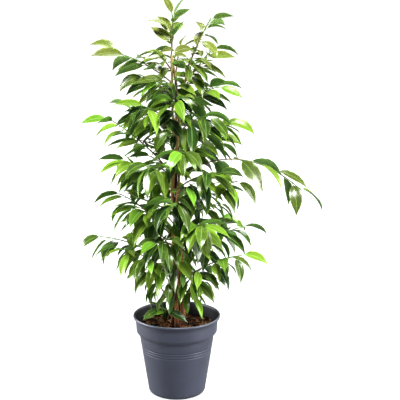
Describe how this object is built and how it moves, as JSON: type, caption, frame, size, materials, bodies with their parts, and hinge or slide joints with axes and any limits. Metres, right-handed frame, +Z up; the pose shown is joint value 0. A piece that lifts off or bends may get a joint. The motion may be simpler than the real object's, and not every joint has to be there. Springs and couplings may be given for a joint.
{
  "type": "weeping fig",
  "caption": "Weeping fig in a round plastic nursery pot: slender woody stems twisted round a cane, arching sprays of glossy pointed green leaves, and a cover of bark chips.",
  "frame": {"origin": "centre of the underside of the pot, on the flat pad that it stands on", "axes": "+Z up along the cane; -Y is the front seen in the picture; +X is the side of the longest branch, on the picture's right"},
  "size_m": [0.5795, 0.3692, 0.9601],
  "materials": {
    "pot": "satin slate blue-grey moulding with a fine grain",
    "soil": "rough reddish-brown bark and coir chips",
    "cane": "dark purple-brown, dull",
    "bark": "tan bark, slightly rough",
    "leaf_dark": "glossy deep green, mature leaves",
    "leaf_mid": "glossy mid green leaves",
    "leaf_lime": "glossy pale yellow-green, young leaves"
  },
  "bodies": {
    "root": {"pot": "pot", "soil": "soil", "support_cane": "cane", "stem_tall": "bark", "stem_second": "bark", "stem_short": "bark", "spray_leader": "leaf_mid", "spray_top_right": "leaf_mid", "spray_crown_left": "leaf_mid", "spray_crown_back": "leaf_mid", "spray_crown_front": "leaf_dark", "spray_crown_left_long": "leaf_mid", "spray_crown_right": "leaf_mid", "spray_crown_right_low": "leaf_dark", "spray_crown_front_left": "leaf_dark", "spray_upper_left": "leaf_dark", "spray_upper_back_left": "leaf_mid", "spray_upper_right": "leaf_mid", "spray_upper_front": "leaf_mid", "spray_upper_back": "leaf_dark", "spray_upper_front_left": "leaf_dark", "spray_upper_front_right": "leaf_dark", "spray_shoulder_right": "leaf_mid", "spray_shoulder_back_left": "leaf_dark", "spray_rising_left": "leaf_mid", "spray_middle_back": "leaf_mid", "spray_middle_front": "leaf_mid", "spray_middle_front_left": "leaf_mid", "spray_middle_back_right": "leaf_dark", "spray_middle_left": "leaf_dark", "spray_middle_front_right": "leaf_dark", "spray_middle_back_left": "leaf_mid", "spray_middle_right": "leaf_mid", "spray_long_right": "leaf_mid", "spray_waist_front": "leaf_dark", "spray_waist_back": "leaf_dark", "spray_waist_left": "leaf_mid", "spray_waist_front_left": "leaf_mid", "spray_waist_front_right": "leaf_mid", "spray_low_right": "leaf_dark", "spray_low_back_right": "leaf_mid", "spray_low_back_left": "leaf_dark", "spray_low_front": "leaf_mid", "spray_low_left_far": "leaf_dark", "spray_low_left_front": "leaf_mid", "spray_low_left_near": "leaf_mid", "spray_low_front_right": "leaf_dark", "spray_low_right_near": "leaf_mid", "spray_low_back": "leaf_mid", "spray_inner_high": "leaf_lime", "spray_inner_middle": "leaf_lime", "spray_inner_low": "leaf_dark", "spray_base_front": "leaf_dark", "spray_base_front_right": "leaf_mid", "spray_base_left": "leaf_dark", "spray_base_right": "leaf_mid", "spray_rim_left": "leaf_mid"}
  },
  "joints": []
}
